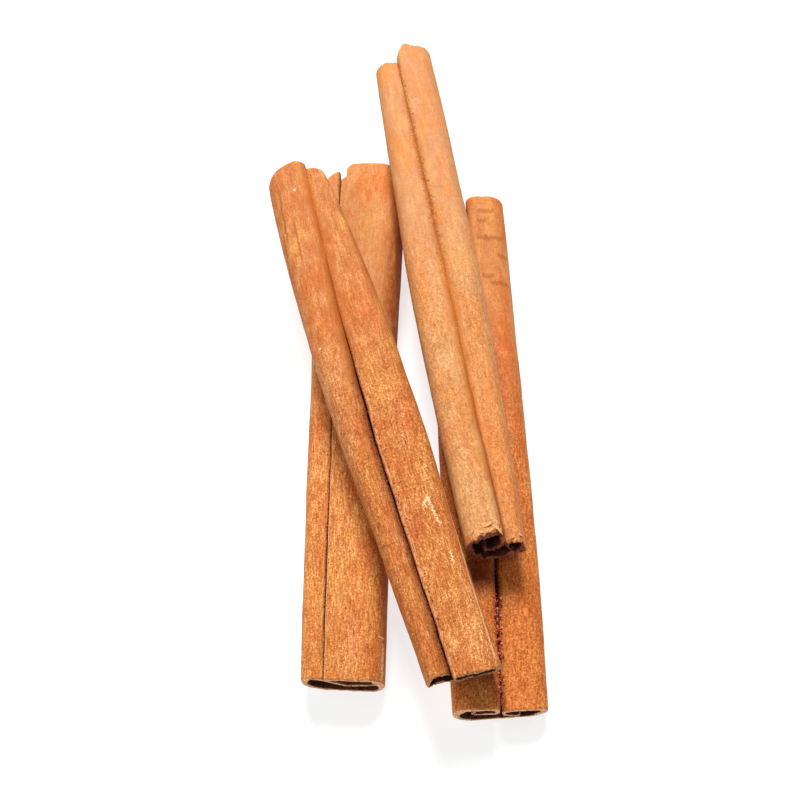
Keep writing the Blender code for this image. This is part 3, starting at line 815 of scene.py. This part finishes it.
crumbs = {
    "least": 0.05,
    "dark": (0.16, 0.020, 0.012), "red": (0.75, 0.120, 0.074), "pale": (0.95, 0.42, 0.29),
    "redFrom": (0.15, 0.5), "paleFrom": (0.68, 0.95),       # tints
    "speckles": 9000.0, "speckFrom": (0.45, 0.65), "specks": 0.5,       # to the metre, level, share
    "roughness": 0.5, "speckRoughness": 0.3, "gloss": 0.3,
    "stretch": (0.65, 1.35), "lump": (0.8, 1.2),            # uneven shapes
    "outermost": 1.8,                                       # spreads from the seam
    "sunk": 0.6,                                            # radii of its middle above the bark
    "beds": [
        {"stick": rightStick, "from": 7.0, "to": 16.0, "spread": 0.32, "count": 200, "most": 0.21,
         "tints": (0.0, 0.95)},
        {"stick": rightStick, "from": 16.0, "to": 23.0, "spread": 0.24, "count": 50, "most": 0.15,
         "tints": (0.0, 0.7)},
        {"stick": rightStick, "from": 0.6, "to": 5.2, "spread": 0.26, "count": 60, "most": 0.17,
         "tints": (0.0, 0.9)},
        {"stick": slantingStick, "from": 2.0, "to": 40.0, "spread": 0.40, "count": 260, "most": 0.11,
         "tints": (0.0, 0.45)},
        {"stick": topStick, "from": 32.6, "to": 34.6, "spread": 0.05, "count": 3, "most": 0.17,
         "tints": (0.7, 1.0)},
    ],
    "seed": 5,
}


def crumbFinish(name):
    bench = Bench(name)
    tint = bench.attribute("crumbTint", "Fac")
    speckle = bench.speckle(crumbs["speckles"], 2.0)
    colour = bench.mix(bench.step(tint, *crumbs["redFrom"]), crumbs["dark"], crumbs["red"])
    colour = bench.mix(bench.step(tint, *crumbs["paleFrom"]), colour, crumbs["pale"])
    speck = bench.step(speckle, *crumbs["speckFrom"]) * crumbs["specks"]
    colour = bench.mix(speck, colour, crumbs["dark"])
    return bench.shade({
        "Base Color": colour, "Roughness": crumbs["roughness"] + speckle * crumbs["speckRoughness"],
        "Specular IOR Level": crumbs["gloss"]})


def buildCrumbs(name):
    rng = np.random.default_rng(crumbs["seed"])
    work = bmesh.new()
    tint = work.verts.layers.float.new("crumbTint")
    for bed in crumbs["beds"]:
        stick, outermost = bed["stick"], crumbs["outermost"]
        for _ in range(bed["count"]):
            y = rng.uniform(bed["from"], bed["to"])
            radius = crumbs["least"] + (bed["most"] - crumbs["least"]) * rng.uniform() ** 2
            seamX = seamAcross(stick, y / stickAxes(stick)[4])
            x = seamX + np.clip(rng.normal(), -outermost, outermost) * bed["spread"]
            middle = placeOnStick(stick, x, y, topOf(stick, x, y) + radius * crumbs["sunk"])
            stretch = rng.uniform(*crumbs["stretch"], 3)
            shade = rng.uniform(*bed["tints"])
            for vert in bmesh.ops.create_icosphere(work, subdivisions=1, radius=radius)["verts"]:
                lump = rng.uniform(*crumbs["lump"])
                vert.co = Vector([c * s * lump for c, s in zip(vert.co, stretch)]) + middle
                vert[tint] = shade
    bmesh.ops.scale(work, vec=(mm, mm, mm), verts=work.verts)
    mesh = bpy.data.meshes.new(name)
    work.to_mesh(mesh)
    work.free()
    piece = addPiece(name, mesh, crumbFinish(name + "_finish"))
    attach(piece, "root")
    print(f"{name}: {len(mesh.polygons)} faces")


buildCrumbs("seam_crumbs")


# Loose flakes at the torn end of the top stick. Sizes are mm; across is from the seam, along from
# the near end, and lift is how far a flake's second end stands up.

flakes = {
    "thick": 0.07, "arch": 0.10,
    "rows": 8, "columns": 5,
    "taper": (0.75, 1.1), "tip": 0.12,                      # shares of a flake's width
    "pale": (0.62, 0.310, 0.120), "brown": (0.30, 0.100, 0.030),
    "speckles": 4500.0, "brownFrom": (0.52, 0.70),          # to the metre, level
    "roughness": 0.6, "grainRoughness": 0.3, "gloss": 0.12,
    "chips": [
        {"across": -2.0, "along": 3.0, "long": 1.7, "wide": 0.42, "turn": 12, "lift": 0.14},
        {"across": -0.9, "along": 2.5, "long": 1.9, "wide": 0.40, "turn": -42, "lift": 0.12},
        {"across": -1.6, "along": 2.2, "long": 1.0, "wide": 0.35, "turn": 28, "lift": 0.10},
        {"across": -3.0, "along": 2.1, "long": 0.9, "wide": 0.30, "turn": -15, "lift": 0.12},
        {"across": -0.5, "along": 1.9, "long": 1.2, "wide": 0.30, "turn": -55, "lift": 0.14},
        {"across": 0.9, "along": 0.9, "long": 0.8, "wide": 0.28, "turn": 20, "lift": 0.15},
        {"across": -4.3, "along": 2.4, "long": 0.8, "wide": 0.25, "turn": 65, "lift": 0.14},
        {"across": 2.2, "along": 1.1, "long": 0.7, "wide": 0.24, "turn": -30, "lift": 0.12},
    ],
    "seed": 8,
}


def flakeFinish(name):
    bench = Bench(name)
    grain = bench.speckle(flakes["speckles"], 3.0)
    colour = bench.mix(bench.step(grain, *flakes["brownFrom"]), flakes["pale"], flakes["brown"])
    return bench.shade({
        "Base Color": colour, "Roughness": flakes["roughness"] + grain * flakes["grainRoughness"],
        "Specular IOR Level": flakes["gloss"]})


def buildFlakes(name, stick):
    rng = np.random.default_rng(flakes["seed"])
    rows, columns = flakes["rows"], flakes["columns"]
    points, faces = [], []
    for chip in flakes["chips"]:
        turn, first = math.radians(chip["turn"]), len(points)
        seamX = seamAcross(stick, chip["along"] / stickAxes(stick)[4])
        for layer in (0, 1):
            for i in range(rows):
                u = i / (rows - 1)
                taper = (1 - abs(2 * u - 1) ** 3) * rng.uniform(*flakes["taper"]) + flakes["tip"]
                onward = (u - 0.5) * chip["long"]
                rise = flakes["arch"] * math.sin(math.pi * u) + chip["lift"] * u ** 2
                for j in range(columns):
                    aside = (j / (columns - 1) - 0.5) * chip["wide"] * taper
                    x = seamX + chip["across"] + onward * math.cos(turn) - aside * math.sin(turn)
                    y = chip["along"] + onward * math.sin(turn) + aside * math.cos(turn)
                    height = topOf(stick, x, y) + rise + flakes["thick"] * (1 - layer)
                    points.append(placeOnStick(stick, x, y, height) * mm)
        faces += skin(np.arange(2 * rows * columns).reshape(2, rows, columns) + first)
    mesh = bpy.data.meshes.new(name)
    mesh.from_pydata(points, [], faces)
    turnOutwards(mesh)
    piece = addPiece(name, mesh, flakeFinish(name + "_finish"))
    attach(piece, "root")
    print(f"{name}: {len(mesh.polygons)} faces")


buildFlakes("torn_flakes", topStick)


# Floor, light and camera, in metres

setting = {
    "floorSize": 12.0,
    "floorDrop": 2e-5,                          # under the sticks
    "floorColour": (0.38, 0.38, 0.38), "floorRoughness": 0.9, "floorGloss": 0.1,
    "floorGlow": 0.72,                          # of the lit table under the paper
    "cameraPlace": (-0.00031, -0.09837, 0.219),
    "cameraTilt": 23.5,                         # degrees off straight down
    "lens": 72, "sensor": 36,                   # mm
    "clip": (0.005, 20),
    "sky": 0.14,
    "key": {"place": (-0.02, 0.40, 0.43), "size": 0.26, "power": 6.4},
    "fill": {"place": (-0.42, -0.05, 0.45), "size": 0.40, "power": 1.6},
    "front": {"place": (0.05, -0.50, 0.12), "size": 0.30, "power": 0.7},
}


def buildFloor():
    mesh = bpy.data.meshes.new("floor")
    half, z = setting["floorSize"] / 2, -setting["floorDrop"]
    mesh.from_pydata([(-half, -half, z), (half, -half, z), (half, half, z), (-half, half, z)],
                     [], [(0, 1, 2, 3)])
    floor = addPiece("floor", mesh, floorFinish("floor_paper"))


def addSoftbox(name, light):
    lamp = bpy.data.lights.new(name, "AREA")
    lamp.shape = "DISK"
    lamp.size, lamp.energy = light["size"], light["power"]
    holder = bpy.data.objects.new(name, lamp)
    holder.location = light["place"]
    holder.rotation_euler = (-Vector(light["place"])).to_track_quat("-Z", "Y").to_euler()
    bpy.context.collection.objects.link(holder)


def setCamera():
    lens = bpy.data.cameras.new("camera")
    lens.lens, lens.sensor_width = setting["lens"], setting["sensor"]
    lens.clip_start, lens.clip_end = setting["clip"]
    camera = bpy.data.objects.new("camera", lens)
    camera.location = setting["cameraPlace"]
    camera.rotation_euler = (math.radians(setting["cameraTilt"]), 0, 0)
    bpy.context.collection.objects.link(camera)
    bpy.context.scene.camera = camera


def setSky():
    world = bpy.data.worlds.new("studio")
    world.use_nodes = True
    background = world.node_tree.nodes["Background"]
    background.inputs["Color"].default_value = (1, 1, 1, 1)
    background.inputs["Strength"].default_value = setting["sky"]
    bpy.context.scene.world = world


buildFloor()
addSoftbox("key_light", setting["key"])
addSoftbox("fill_light", setting["fill"])
addSoftbox("front_light", setting["front"])
setCamera()
setSky()
bpy.context.scene.view_settings.view_transform = "Standard"
print("floor, lights and camera set")
